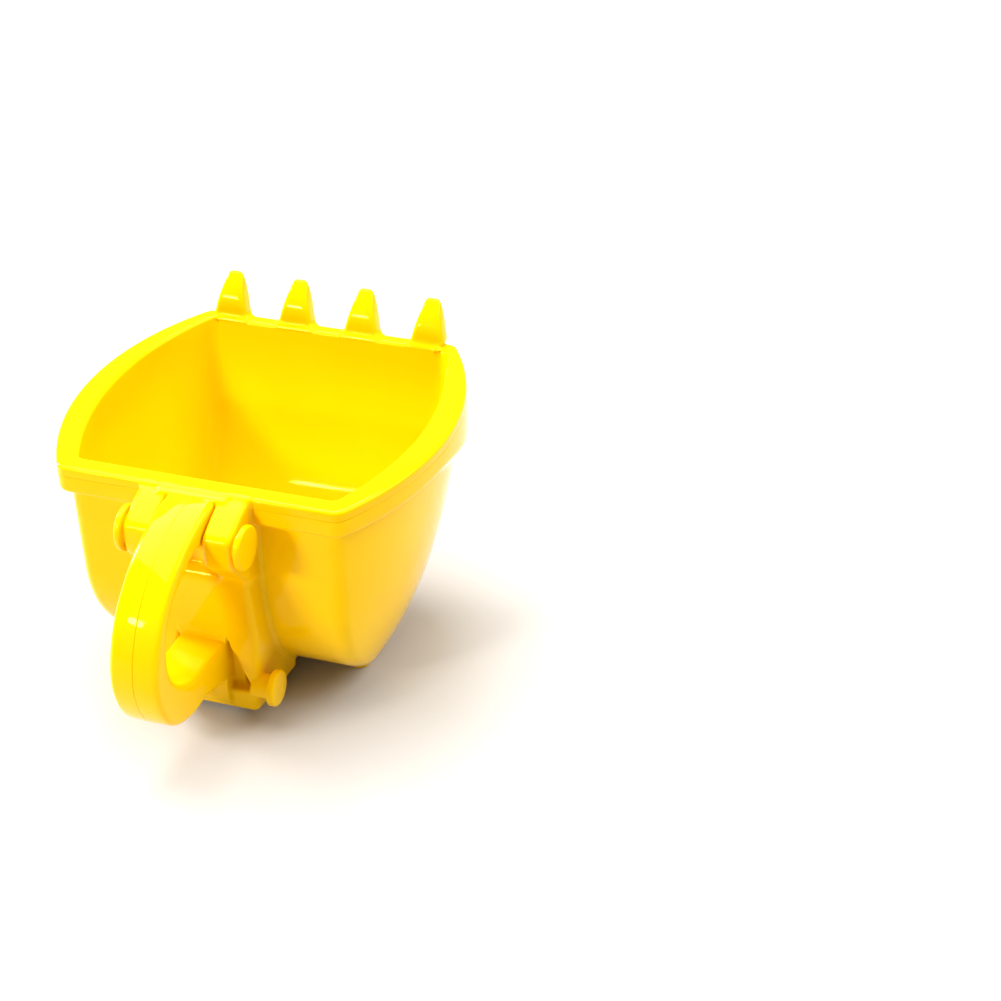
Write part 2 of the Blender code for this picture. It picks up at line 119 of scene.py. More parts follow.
PANEL_PITCH = 22.0
PANEL_HALF_WIDTH = 4.9
PANEL_DEPTH = 1.1
PANEL_TOP_Z = 44.5
PANEL_END_Y = -4.0
PANEL_SLOPE = 1.2           # width of a panel's sloping border
PANEL_GRID_X = 28.0         # the mesh has columns at fixed X inside this half-width

# columns of the cup's meshes: rear edge, rear corner, side, front corner, front past the panels
SECTION_POINTS = (22, 8, 60, 9, 7)
OUTER_FRONT = 4             # number of the section past the panels; the next is the fixed columns
FIXED_COLUMNS = 24
BORDER_STEPS = (-0.8, -0.5, -0.25, 0, 0.25, 0.5, 0.8)     # columns over a panel's border
HIDDEN_ROWS = 14
WALL_ROWS = 62
BASIN_ROWS = 60
CORNER_ROWS = 8

# where the mouth's middle is in the CAD frame
shell_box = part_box("outer_shell")
MOUTH_Y = shell_box[1][1] / MM - MOUTH_OUTER.rear


# ---------------------------------------------------------------- small helpers

def smoothstep(t):
    t = np.clip(t, 0.0, 1.0)
    return t * t * (3.0 - 2.0 * t)


def soft_max(a, b, size):
    """The larger of two distances, with a rounded edge of that size between their surfaces."""
    h = np.maximum(size - np.abs(a - b), 0.0)
    return np.maximum(a, b) + h * h / (4.0 * size)


def soft_min(a, b, size):
    """The smaller of two distances, with a fillet of that size between their surfaces."""
    return -soft_max(-a, -b, size)


def finished(name, mesh, angle=None):
    """An object for a mesh in local millimetres: placed in the CAD frame and smooth-shaded."""
    mesh.transform(Matrix.Translation((0, MOUTH_Y * MM, 0)) @ Matrix.Scale(MM, 4))
    mesh.shade_smooth()
    if angle is not None:
        mesh.set_sharp_from_angle(angle=math.radians(angle))
    thing = bpy.data.objects.new(name, mesh)
    bpy.context.scene.collection.objects.link(thing)
    return thing


def stand_for(thing, material, *nodes):
    """Finish a visible piece: its material, its body and the CAD nodes it stands for."""
    thing.data.materials.clear()
    thing.data.materials.append(material)
    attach(thing, BODY)
    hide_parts(*nodes)


def ring_skin(name, rows):
    """A closed solid through rings of equal length, capped at both ends."""
    rows = np.array(rows)
    count, columns = rows.shape[:2]
    index = np.arange(count * columns).reshape(count, columns)
    nxt = np.roll(index, -1, axis=1)
    quads = np.stack([index[:-1], nxt[:-1], nxt[1:], index[1:]], axis=-1).reshape(-1, 4)
    faces = quads.tolist() + [index[0][::-1].tolist(), index[-1].tolist()]
    mesh = bpy.data.meshes.new(name)
    mesh.from_pydata(rows.reshape(-1, 3).tolist(), [], faces)
    shape = bmesh.new()
    shape.from_mesh(mesh)
    bmesh.ops.remove_doubles(shape, verts=shape.verts, dist=0.001)
    bmesh.ops.recalc_face_normals(shape, faces=shape.faces)
    shape.to_mesh(mesh)
    shape.free()
    return mesh


def curve_corner(before, corner, after, size_in, size_out, steps=6):
    """Points of a rounded corner between three arrays of points, one row for each step."""
    back, ahead = before - corner, after - corner
    start = corner + back / np.linalg.norm(back, axis=-1, keepdims=True) * size_in
    end = corner + ahead / np.linalg.norm(ahead, axis=-1, keepdims=True) * size_out
    return [(1 - t) ** 2 * start + 2 * t * (1 - t) * corner + t ** 2 * end
            for t in np.linspace(0.0, 1.0, steps + 1)]


# ---------------------------------------------------------------- plan outlines of the cup

def make_columns():
    """The columns round the outline: the section each is in, its place in it, and its side."""
    sections = [np.linspace(0, 1, points)[:-1] for points in SECTION_POINTS]
    edges = [panel * PANEL_PITCH + side * PANEL_HALF_WIDTH
             for panel in (0, 1) for side in (-1, 1) if panel or side == 1]
    near = [edge + PANEL_SLOPE * step for edge in edges for step in BORDER_STEPS]
    fixed = np.concatenate([np.linspace(0, PANEL_GRID_X, FIXED_COLUMNS), near])
    sections.append(np.unique(np.round(fixed, 2))[::-1])
    kind = np.concatenate([np.full(len(part), number) for number, part in enumerate(sections)])
    place = np.concatenate(sections)
    return (np.concatenate([kind, kind[1:-1][::-1]]), np.concatenate([place, place[1:-1][::-1]]),
            np.concatenate([np.ones(len(kind)), -np.ones(len(kind) - 2)]))


KIND, PLACE, SIDE = make_columns()


def circle_through(ax, ay, bx, by, cx, cy):
    """Centre and radius of the circle through three points."""
    d = 2 * (ax * (by - cy) + bx * (cy - ay) + cx * (ay - by))
    a2, b2, c2 = ax * ax + ay * ay, bx * bx + by * by, cx * cx + cy * cy
    x = (a2 * (by - cy) + b2 * (cy - ay) + c2 * (ay - by)) / d
    y = (a2 * (cx - bx) + b2 * (ax - cx) + c2 * (bx - ax)) / d
    return x, y, np.hypot(ax - x, ay - y)


def side_circle(o):
    """The circle that a bowed side of an outline follows."""
    middle = (o.rear + o.front) / 2
    bow = np.maximum(o.mid_half, (o.rear_half + o.front_half) / 2 + 0.3)
    return circle_through(o.rear_half, o.rear, bow, middle, o.front_half, o.front)


def ring(o, z):
    """The outline at the columns, as points. The outline's values and z may differ by column."""
    x, y, radius = side_circle(o)
    rear_y, front_y = o.rear - o.rear_round, o.front + o.front_round
    rear_x = x + np.sqrt((radius - o.rear_round) ** 2 - (rear_y - y) ** 2)
    front_x = x + np.sqrt((radius - o.front_round) ** 2 - (front_y - y) ** 2)
    rear_angle = np.arctan2(rear_y - y, rear_x - x)
    front_angle = np.arctan2(front_y - y, front_x - x)
    t = PLACE
    rear_turn = math.pi / 2 + (rear_angle - math.pi / 2) * t
    side_turn = rear_angle + (front_angle - rear_angle) * t
    front_turn = front_angle + (-math.pi / 2 - front_angle) * t
    cases = [KIND == number for number in range(OUTER_FRONT + 2)]
    px = np.select(cases, [rear_x * t, rear_x + o.rear_round * np.cos(rear_turn),
                           x + radius * np.cos(side_turn),
                           front_x + o.front_round * np.cos(front_turn),
                           front_x + (PANEL_GRID_X - front_x) * t, t])
    py = np.select(cases, [o.rear + 0 * t, rear_y + o.rear_round * np.sin(rear_turn),
                           y + radius * np.sin(side_turn),
                           front_y + o.front_round * np.sin(front_turn),
                           o.front + 0 * t, o.front + 0 * t])
    return np.stack([px * SIDE, py, z + 0 * t], axis=-1)


def shrunk(o, amount):
    """An outline moved inwards."""
    return Outline(o.rear - amount, o.front + amount, o.rear_half - amount, o.mid_half - amount,
                   o.front_half - amount, np.maximum(0.6, o.rear_round - amount),
                   np.maximum(0.6, o.front_round - amount))


def wall_outline(z, inset=0.0, floor_gap=0.0):
    """The cup's outer wall at height z, moved inwards by `inset`."""
    keel = KEEL_Z + inset + floor_gap
    depth = np.clip((WALL_TOP_Z - z) / WALL_DEPTH, 0.0, 1.0)
    above_keel = np.maximum(z - keel, 0.0)
    drop = np.clip((FRONT_TOP_Z - z) / (FRONT_TOP_Z - keel), 0.0, 1.0)
    front = KEEL_Y - (FRONT_REACH - inset) * (1 - drop ** FRONT_POWER) ** (1 / FRONT_POWER)
    heel = HEEL_RADIUS - inset
    below_centre = np.maximum(0.0, heel - above_keel)
    rear = REAR_WALL_Y - HEEL_RADIUS + np.sqrt(np.maximum(0.0, heel ** 2 - below_centre ** 2))
    lift = np.maximum(0.0, SIDE_ROUND - above_keel) / SIDE_ROUND
    pull_in = inset + SIDE_ROUND * (1 - np.sqrt(1 - lift ** 2))
    length = rear - front
    return Outline(rear, front, REAR_HALF - REAR_DRAW * depth ** 4 - pull_in,
                   MID_HALF - MID_DRAW_EVEN * depth - MID_DRAW_LOW * depth ** 4 - pull_in,
                   FRONT_HALF - FRONT_DRAW * depth ** 1.5 - pull_in,
                   np.minimum(REAR_CORNER, 0.4 * length), np.minimum(FRONT_CORNER, 0.4 * length))


def flared_outline(z, inset, floor_gap=0.0, side_gap=0.0):
    """The wall moved in by `inset`, closing up to the mouth's inner edge near the rim."""
    wall = wall_outline(z, inset, floor_gap)
    wall = wall._replace(mid_half=wall.mid_half - side_gap)
    mouth = shrunk(MOUTH_INNER, inset - LINER_FACE)
    share = 1 - (1 - np.clip((RIM_Z - z) / FLARE_HEIGHT, 0.0, 1.0)) ** FLARE_POWER
    return Outline(*(p + (q - p) * share for p, q in zip(mouth, wall)))


def basin_outline(z):
    """The face that shows inside the cup."""
    return flared_outline(z, LINER_FACE, LINER_FLOOR_GAP, LINER_SIDE_GAP)


def ridge_height(y):
    """Height of the rim band's lower edge, which sinks towards the teeth and lifts at the lip."""
    level = RIDGE_REAR_Z - RIDGE_DROP * smoothstep((RIDGE_DROP_FROM_Y - y) / RIDGE_DROP_RUN)
    lift = np.maximum(0.0, (RIDGE_LIFT_FROM_Y - y) / (RIDGE_LIFT_FROM_Y - MOUTH_OUTER.front))
    return level + RIDGE_LIP_LIFT * lift ** 3


def crease_height(y):
    """Height where the cup's wall begins, under the band."""
    level = CREASE_REAR_Z - CREASE_DROP * smoothstep((CREASE_DROP_FROM_Y - y) / CREASE_DROP_RUN)
    lift = np.maximum(0.0, (CREASE_LIFT_FROM_Y - y) / (CREASE_LIFT_FROM_Y - MOUTH_OUTER.front))
    return level + CREASE_LIP_LIFT * lift ** 2


def rising(low, high, steps):
    """Heights from low to high, closer together near the low end."""
    return [high - (high - low) * math.sin(math.pi / 2 * k / steps) for k in range(steps, -1, -1)]


# ---------------------------------------------------------------- outer shell and liner

def panel_depth(points):
    """How deep the underside is sunk at each point of the wall."""
    x, y, z = points[..., 0], points[..., 1], points[..., 2]
    across = np.zeros_like(x)
    for panel in (-1, 0, 1):
        off = np.abs(x - panel * PANEL_PITCH)
        across = np.maximum(across, smoothstep((PANEL_HALF_WIDTH - off) / PANEL_SLOPE + 0.5))
    below = smoothstep((PANEL_TOP_Z - z) / PANEL_SLOPE + 0.5)
    before = smoothstep((PANEL_END_Y - y) / (2 * PANEL_SLOPE) + 0.5)
    on_front = (KIND >= OUTER_FRONT).astype(float)
    return PANEL_DEPTH * across * below * before * on_front


def seam_edge(outline, z, towards):
    """Rings of the rounded edge at the seam line; towards is +1 for the lower lip of the seam."""
    hidden = ring(shrunk(outline, SEAM_DEPTH), z)
    corner = ring(outline, z)
    face = ring(outline, z - towards)
    return [hidden] + curve_corner(hidden, corner, face, SEAM_ROUND, SEAM_ROUND, 4)


def make_shell():
    """Outside of the cup, with the rim band, the lip plate and the sunk panels."""
    plan = ring(MOUTH_OUTER, 0.0)
    ridge = ring(MOUTH_OUTER, ridge_height(plan[:, 1]))
    crease_z = crease_height(plan[:, 1])
    crease = ring(wall_outline(crease_z), crease_z)
    slope = np.linalg.norm(crease - ridge, axis=1, keepdims=True)
    at_lip = smoothstep((LIP_FROM_Y - plan[:, 1:2]) / LIP_RUN)
    ridge_round = RIDGE_ROUND + (LIP_EDGE_ROUND - RIDGE_ROUND) * at_lip
    ridge_round = np.minimum(ridge_round, CORNER_SHARE * slope)
    crease_round = np.minimum(CREASE_ROUND, CORNER_SHARE * slope)
    start_z = crease_z - crease_round[:, 0]
    below = ring(wall_outline(start_z), start_z)

    rows = [ring(flared_outline(z, SHELL_WALL), z)
            for z in rising(KEEL_Z + SHELL_WALL, SEAM_Z - SEAM_GAP, HIDDEN_ROWS)]
    rows += seam_edge(MOUTH_OUTER, SEAM_Z - SEAM_GAP, 1)
    top = ring(MOUTH_OUTER, RIM_Z)
    rows += curve_corner(top, ridge, crease, ridge_round, ridge_round, CORNER_ROWS)
    rows += curve_corner(ridge, crease, below, crease_round, crease_round, CORNER_ROWS)
    even = np.linspace(0.0, 1.0, WALL_ROWS)[1:]
    shares = list(np.sin(even * math.pi / 2) ** 0.9)
    panel_share = (LIP_CREASE_Z - PANEL_TOP_Z) / (LIP_CREASE_Z - KEEL_Z)
    shares += [panel_share + step for step in (-0.011, -0.006, 0.0, 0.006, 0.011)]
    for share in sorted(shares):
        z = start_z + (KEEL_Z + TIP - start_z) * share
        flat = ring(wall_outline(z), z)
        rows.append(ring(wall_outline(z, panel_depth(flat)), z))
    return finished("shell", ring_skin("shell", rows), 40)


def make_liner():
    """The basin and the flange that makes the top of the rim."""
    keel = KEEL_Z + LINER_FLOOR_GAP
    rows = [ring(flared_outline(z, LINER_BACK, LINER_FLOOR_GAP, LINER_SIDE_GAP), z)
            for z in rising(keel + LINER_BACK, SEAM_Z + SEAM_GAP, HIDDEN_ROWS)]
    rows += seam_edge(MOUTH_OUTER, SEAM_Z + SEAM_GAP, -1)
    side, top_out = ring(MOUTH_OUTER, SEAM_Z), ring(MOUTH_OUTER, RIM_Z)
    top_in = ring(MOUTH_INNER, RIM_Z)
    below = ring(basin_outline(RIM_Z - RIM_INNER_ROUND), RIM_Z - RIM_INNER_ROUND)
    rows += curve_corner(side, top_out, top_in, RIM_OUTER_ROUND, RIM_OUTER_ROUND, CORNER_ROWS)
    rows += curve_corner(top_out, top_in, below, RIM_INNER_ROUND, RIM_INNER_ROUND, CORNER_ROWS)
    heights = rising(keel + LINER_FACE + TIP, RIM_Z - RIM_INNER_ROUND, BASIN_ROWS)[::-1]
    rows += [ring(basin_outline(z), z) for z in heights[1:]]
    return finished("liner", ring_skin("liner", rows), 40)


# ---------------------------------------------------------------- moulded shapes from distances

NUDGE = 0.02                # step for measuring a distance's slope
LEAST_SLOPE = 0.05          # squared; keeps a move short where the slope nearly vanishes
LARGEST_MOVE = 0.5          # of a cell, in one step
LARGEST_STRAY = 0.9         # of a cell, in all
SKIN_DEPTH = 0.25           # how far an added piece sinks below the cup's surface
SKIN_EDGE = 0.025           # a fillet ends where it stands this little above the surface


def surface_of(name, distance, low, high, cell):
    """A fine mesh of the surface where distance(x, y, z) is zero, inside a box."""
    axes = [np.arange(a, b + cell, cell) for a, b in zip(low, high)]
    values = distance(*np.meshgrid(*axes, indexing="ij"))
    inside = values < 0
    shape = np.array(values.shape) - 1
    window = [slice(0, -1), slice(1, None)]
    corners = [(i, j, k) for i in (0, 1) for j in (0, 1) for k in (0, 1)]
    count = sum(inside[window[i], window[j], window[k]].astype(int) for i, j, k in corners)
    mixed = (count > 0) & (count < 8)
    number = np.full(shape, -1)
    number[mixed] = np.arange(mixed.sum())
    cells = np.argwhere(mixed)

    total, hits = np.zeros((len(cells), 3)), np.zeros(len(cells))
    for axis in range(3):
        step = np.eye(3, dtype=int)[axis]
        for corner in corners:
            if corner[axis]:
                continue
            a = cells + corner
            b = a + step
            va, vb = values[tuple(a.T)], values[tuple(b.T)]
            cut = (va < 0) != (vb < 0)
            share = np.where(cut, va / np.where(cut, va - vb, 1.0), 0.0)
            total += (a + share[:, None] * step) * cut[:, None]
            hits += cut
    points = np.array(low) + total / hits[:, None] * cell

    first_points = points
    for _ in range(4):
        here = distance(*points.T)
        ahead = [distance(*(points + NUDGE * e).T) for e in np.eye(3)]
        behind = [distance(*(points - NUDGE * e).T) for e in np.eye(3)]
        slope = (np.stack(ahead, axis=-1) - np.stack(behind, axis=-1)) / (2 * NUDGE)
        move = slope * (here / np.maximum((slope ** 2).sum(1), LEAST_SLOPE))[:, None]
        points = points - np.clip(move, -LARGEST_MOVE * cell, LARGEST_MOVE * cell)
    strayed = np.linalg.norm(points - first_points, axis=1) > LARGEST_STRAY * cell
    points[strayed] = first_points[strayed]

    faces = []
    for axis in range(3):
        u, v = (axis + 1) % 3, (axis + 2) % 3
        a, b = [slice(None)] * 3, [slice(None)] * 3
        a[axis], b[axis] = slice(0, -1), slice(1, None)
        spots = np.argwhere(inside[tuple(a)] != inside[tuple(b)])
        su, sv = spots[:, u], spots[:, v]
        spots = spots[(su > 0) & (sv > 0) & (su < shape[u]) & (sv < shape[v])]
        du, dv = np.eye(3, dtype=int)[u], np.eye(3, dtype=int)[v]
        quad = np.stack([number[tuple((spots - p * du - q * dv).T)]
                         for p, q in ((1, 1), (0, 1), (0, 0), (1, 0))], 1)
        flip = ~inside[tuple(spots.T)]
        quad[flip] = quad[flip][:, ::-1]
        faces.append(quad)
    mesh = bpy.data.meshes.new(name)
    mesh.from_pydata(points.tolist(), [], np.concatenate(faces).tolist())
    relax(mesh, np.flatnonzero(strayed))
    return mesh


def relax(mesh, numbers):
    """Move some of a mesh's points to the middle of their neighbours."""
    shape = bmesh.new()
    shape.from_mesh(mesh)
    shape.verts.ensure_lookup_table()
    bmesh.ops.smooth_vert(shape, verts=[shape.verts[number] for number in numbers], factor=1.0,
                          use_axis_x=True, use_axis_y=True, use_axis_z=True)
    shape.to_mesh(mesh)
    shape.free()


def plan_distance(o, x, y):
    """Distance from a plan outline, negative inside it, with its corners rounded."""
    cx, cy, radius = side_circle(o)
    side = np.hypot(np.abs(x) - cx, y - cy) - radius

    def corner(edge, rounding):
        a, b = edge + rounding, side + rounding
        outside = np.hypot(np.maximum(a, 0.0), np.maximum(b, 0.0))
        return outside + np.minimum(np.maximum(a, b), 0.0) - rounding

    return np.maximum(corner(y - o.rear, o.rear_round), corner(o.front - y, o.front_round))


def half_plane(y, z, first, second):
    """Distance from the line through two (y, z) points, negative on its left-hand side."""
    (y0, z0), (y1, z1) = first, second
    length = math.hypot(y1 - y0, z1 - z0)
    return ((y - y0) * (z1 - z0) - (z - z0) * (y1 - y0)) / length


def side_view(y, z, points, size):
    """Distance from a convex (y, z) outline that runs anticlockwise, with rounded corners."""
    result = half_plane(y, z, points[0], points[1])
    for first, second in zip(points[1:], points[2:]):
        result = soft_max(result, half_plane(y, z, first, second), size)
    return result


def added_to(cup, piece, size):
    """What a piece and the fillet round it add to the cup: it ends where it adds nothing."""
    joined = soft_min(piece, cup, size)
    return np.maximum(np.maximum(joined, -cup - SKIN_DEPTH), joined - cup + SKIN_EDGE)


# ---------------------------------------------------------------- teeth

LIP_BEVEL = ((-47.8, 60.3), (-42.3, 57.4))      # (y, z), from ridge to crease
TOOTH_PROFILE = ((-43.2, 72.6), (-45.9, 78.9), (-49.9, 83.7), (-51.2, 84.6), (-52.3, 84.1),
                 (-52.6, 80.5), (-52.2, 72.0), (-50.9, 59.6), (-47.0, 59.6))
TOOTH_BACK = ((-47.2, 64.0), (-43.3, 72.4))     # where it sinks into the basin's wall
TOOTH_BACK_ROUND = 4.5
TOOTH_PROFILE_ROUND = 1.3
TOOTH_FACE_Y = -52.0
TOOTH_FACE_HALF = 3.4
TOOTH_FLARE = 0.56          # growth of the half-width from the face towards the lip
TOOTH_WIDEST_HALF = 5.8
TOOTH_NECK_Z = 73.0
TOOTH_NECK_HALF = 5.3
TOOTH_TAPER = 0.27          # loss of half-width with height above the neck
TOOTH_TAPER_ROUND = 1.2
TOOTH_EDGE = 1.5
TOOTH_FILLET = 2.2
TOOTH_REACH = 8.6           # half-width of the space that is meshed, with its lowest and highest (y, z)
TOOTH_SPACE = ((-53.0, 57.4), (-39.5, 85.4))
TOOTH_CELL = 0.34
LIMIT_X = 35.4              # the outer teeth end here, before the cup's corners
LIMIT_LEAN = 2.0
LIMIT_LIFT = 0.3
LIMIT_ROUND = 1.0


def lip_distance(x, y, z):
    """The rim and lip plate near the teeth."""
    outside = plan_distance(MOUTH_OUTER, x, y)
    basin = plan_distance(basin_outline(z), x, y)
    body = soft_max(outside, z - RIM_Z, RIM_OUTER_ROUND)
    body = soft_max(body, half_plane(y, z, *LIP_BEVEL), LIP_EDGE_ROUND)
    return soft_max(body, -basin, RIM_INNER_ROUND)


def make_tooth(number):
    """A tooth over the lip, with the fillet round its foot."""
    low, high = (np.array(corner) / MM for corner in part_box("tooth_%d" % number))
    centre = (low[0] + high[0]) / 2

    def distance(x, y, z):
        off = np.abs(x - centre)
        flank = off - TOOTH_FACE_HALF - TOOTH_FLARE * (y - TOOTH_FACE_Y)
        taper = off - TOOTH_NECK_HALF + TOOTH_TAPER * (z - TOOTH_NECK_Z)
        body = soft_max(flank / math.hypot(1, TOOTH_FLARE), off - TOOTH_WIDEST_HALF, 1.0)
        body = soft_max(body, taper / math.hypot(1, TOOTH_TAPER), TOOTH_TAPER_ROUND)
        outline = side_view(y, z, TOOTH_PROFILE, TOOTH_PROFILE_ROUND)
        outline = soft_max(outline, half_plane(y, z, *TOOTH_BACK), TOOTH_BACK_ROUND)
        body = soft_max(body, outline, TOOTH_EDGE)
        limit = np.abs(x) - LIMIT_X - LIMIT_LEAN * np.maximum(z - RIM_Z - LIMIT_LIFT, 0.0)
        body = soft_max(body, limit, LIMIT_ROUND)
        return added_to(lip_distance(x, y, z), body, TOOTH_FILLET)

    name = "tooth_%d_surface" % number
    space_low = (centre - TOOTH_REACH, *TOOTH_SPACE[0])
    space_high = (centre + TOOTH_REACH, *TOOTH_SPACE[1])
    return finished(name, surface_of(name, distance, space_low, space_high, TOOTH_CELL))


# ---------------------------------------------------------------- hitch bracket

# side views are (y, z) outlines
EAR_PROFILE = ((40.0, 46.6), (51.8, 46.6), (58.6, 54.6), (60.6, 56.6), (61.2, 64.4),
               (60.6, 66.2), (58.8, 67.4), (48.2, 71.5), (40.0, 71.5))
EAR_INNER_X = 7.5
EAR_OUTER_X = 15.7
EAR_ROUND = 1.6
EAR_INNER_ROUND = 0.9
GUSSET_PROFILE = ((36.0, 6.0), (53.0, 6.0), (54.4, 12.0), (52.2, 29.0), (36.0, 29.0))
GUSSET_HALF = 6.9
GUSSET_FILLET = 0.8
PLATE_FRONT_Y = 52.0
PLATE_TOP_Z = 48.8
PLATE_TOP_LEAN = 0.18
PLATE_TOP_ROUND = 4.0
PLATE_FOOT_Z = 3.4
PLATE_FOOT_ROUND = 2.2
PLATE_EDGE = 1.8
PLATE_SPREAD = 0.0055       # share of the half-width that the sides gain with depth
PLATE_HALF = ((3.4, 14.6), (14.0, 15.4), (24.0, 16.2), (36.0, 15.6), (47.5, 14.8))  # (z, half)
WINDOW_HALF = ((10.4, 12.6), (13.5, 12.6), (25.0, 7.6), (27.6, 7.2))
WINDOW_ROUND = 1.4
WINDOW_EDGE = 1.2
WEB_FRONT_Y = 48.5          # between the ears, below the handle
WEB_TOP_Z = 57.5
WEB_HALF = 10.0
WEB_ROUND = 1.5
BRIDGE_FRONT_Y = 50.2       # between the ears, above the handle
BRIDGE_FOOT_Z = 62.0
BRACKET_TOP_Z = 71.5
BRACKET_FILLET = 1.8
BRACKET_SPACE = ((-22.0, 30.0, 1.5), (22.0, 63.0, 73.5))
BRACKET_CELL = 0.42
BURIED_Y = 43.0             # the ears start inside the wall, and further out in the rim band
BURIED_LIFT = 3.8
BURIED_RUN = 3.0


def rear_distance(y, z):
    """The cup's rear wall, its heel and the rim band above it."""
    centre_y, centre_z = REAR_WALL_Y - HEEL_RADIUS, KEEL_Z + HEEL_RADIUS
    heel = np.hypot(y - centre_y, np.minimum(z - centre_z, 0.0)) - HEEL_RADIUS
    crease, ridge = (REAR_WALL_Y, CREASE_REAR_Z), (MOUTH_OUTER.rear, RIDGE_REAR_Z)
    band = soft_max(y - MOUTH_OUTER.rear, half_plane(y, z, crease, ridge), RIDGE_ROUND)
    band = soft_max(band, z - RIM_Z, RIM_OUTER_ROUND)
    return soft_min(np.where(y > centre_y, heel, -HEEL_RADIUS), band, CREASE_ROUND)


def make_bracket():
    """The back plate with its two legs, the gusset, the two ears and what joins the ears."""
    def table(z, rows):
        heights, widths = zip(*rows)
        return np.interp(z, heights, widths)

    def plate_distance(off, y, z):
        spread = 1.0 + PLATE_SPREAD * (PLATE_FRONT_Y - y)
        half = sum(table(z + shift, PLATE_HALF) for shift in (-2.0, -1.0, 0.0, 1.0, 2.0)) / 5
        plate = soft_max(off - spread * half, y - PLATE_FRONT_Y, PLATE_EDGE)
        top = z - PLATE_TOP_Z - PLATE_TOP_LEAN * (PLATE_FRONT_Y - y)
        plate = soft_max(plate, top, PLATE_TOP_ROUND)
        plate = soft_max(plate, PLATE_FOOT_Z - z, PLATE_FOOT_ROUND)
        window = soft_max(WINDOW_HALF[0][0] - z, z - WINDOW_HALF[-1][0], 1.0)
        window = soft_max(off - table(z, WINDOW_HALF), window, WINDOW_ROUND)
        return soft_max(plate, -window, WINDOW_EDGE)

    def top_distance(off, y, z):
        ear = side_view(y, z, EAR_PROFILE, EAR_ROUND)
        ear = soft_max(ear, off - EAR_OUTER_X, EAR_ROUND)
        ear = soft_max(ear, EAR_INNER_X - off, EAR_INNER_ROUND)
        web = soft_max(y - WEB_FRONT_Y, z - WEB_TOP_Z, WEB_ROUND)
        web = soft_max(web, off - WEB_HALF, 1.0)
        bridge = soft_max(y - BRIDGE_FRONT_Y, z - BRACKET_TOP_Z, 1.0)
        bridge = soft_max(bridge, np.maximum(off - WEB_HALF, BRIDGE_FOOT_Z - z), 1.0)
        start_y = BURIED_Y + BURIED_LIFT * smoothstep((z - BRIDGE_FOOT_Z) / BURIED_RUN)
        return np.maximum(soft_min(soft_min(web, bridge, 1.0), ear, 1.0), start_y - y)

    def distance(x, y, z):
        off = np.abs(x)
        gusset = np.maximum(off - GUSSET_HALF, side_view(y, z, GUSSET_PROFILE, 1.0))
        body = soft_min(plate_distance(off, y, z), top_distance(off, y, z), BRACKET_FILLET)
        body = soft_min(body, gusset, GUSSET_FILLET)
        return added_to(rear_distance(y, z), body, BRACKET_FILLET)

    return finished("bracket", surface_of("bracket", distance, *BRACKET_SPACE, BRACKET_CELL))


# ---------------------------------------------------------------- turned pieces

Pin = namedtuple("Pin", "head_radius head_depth neck_radius inner_x short_by")
PINS = {
    "upper_pin_left": Pin(6.5, 1.9, 4.6, 12.0, 1.3),
    "upper_pin_right": Pin(6.2, 1.9, 3.9, 12.0, 0.0),
    "lower_pin_left": Pin(5.2, 2.3, 3.6, 13.6, 0.0),
    "lower_pin_right": Pin(5.2, 2.3, 3.6, 13.6, 0.0),
}
PIN_DISH = 0.3              # how far the head's face falls away to its edge
AXIS_RADIUS = 0.02          # a profile ends this close to its axis
FOOT_TIP_RADIUS = 3.2
FOOT_ROOT_RADIUS = 3.7
FOOT_SUNK = 0.6             # how far a foot reaches up into the cup's underside
FOOT_ROUND = 0.7
SLIGHT_ROUND = 0.01         # for corners that are hidden


def turned(name, profile, place, direction, sides=64):
    """A body of revolution from an (along, radius) profile, turned about `direction`."""
    angles = np.linspace(0, 2 * math.pi, sides, endpoint=False)
    across, up = np.cos(angles), np.sin(angles)
    rows = [np.stack([radius * across, radius * up, along + 0 * angles], axis=-1)
            for along, radius in profile]
    mesh = ring_skin(name, rows)
    turn = Vector((0, 0, 1)).rotation_difference(Vector(direction)).to_matrix().to_4x4()
    mesh.transform(Matrix.Translation(place) @ turn)
    return finished(name, mesh, 50)


def rounded_profile(corners, sizes):
    """An (along, radius) profile with each inner corner rounded to its size."""
    points = [np.array([corner], float) for corner in corners]
    result = [points[0][0]]
    for before, corner, after, size in zip(points, points[1:], points[2:], sizes):
        result += [step[0] for step in curve_corner(before, corner, after, size, size, 5)]
    return result + [points[-1][0]]


def make_pin(name):
    """A pin's end: a neck in the bracket's side, and a wide, slightly domed head."""
    pin = PINS[name]
    low, high = (np.array(corner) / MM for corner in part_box(name))
    sign = 1 if high[0] > 0 else -1
    centre = ((low + high) / 2)[1:]
    face = max(abs(low[0]), abs(high[0])) - pin.short_by
    seat = face - pin.head_depth
    corners = ((pin.inner_x, AXIS_RADIUS), (pin.inner_x, pin.neck_radius), (seat, pin.neck_radius),
               (seat, pin.head_radius), (face - PIN_DISH, pin.head_radius),
               (face, pin.head_radius * 0.5), (face, AXIS_RADIUS))
    profile = rounded_profile(corners, (SLIGHT_ROUND, 0.35, 0.4, 0.7, 1.5))
    return turned(name + "_surface", profile, (0, centre[0] - MOUTH_Y, centre[1]), (sign, 0, 0))


def make_foot(name):
    """A short round foot, a little wider at its root."""
    low, high = (np.array(corner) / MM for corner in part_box(name))
    x, y = ((low + high) / 2)[:2]
    root = high[2] + FOOT_SUNK
    corners = ((0, AXIS_RADIUS), (0, FOOT_TIP_RADIUS), (root, FOOT_ROOT_RADIUS), (root, AXIS_RADIUS))
    profile = rounded_profile(corners, (FOOT_ROUND, SLIGHT_ROUND))
    return turned(name + "_surface", profile, (x, y - MOUTH_Y, 0), (0, 0, 1), 48)


# ---------------------------------------------------------------- handle

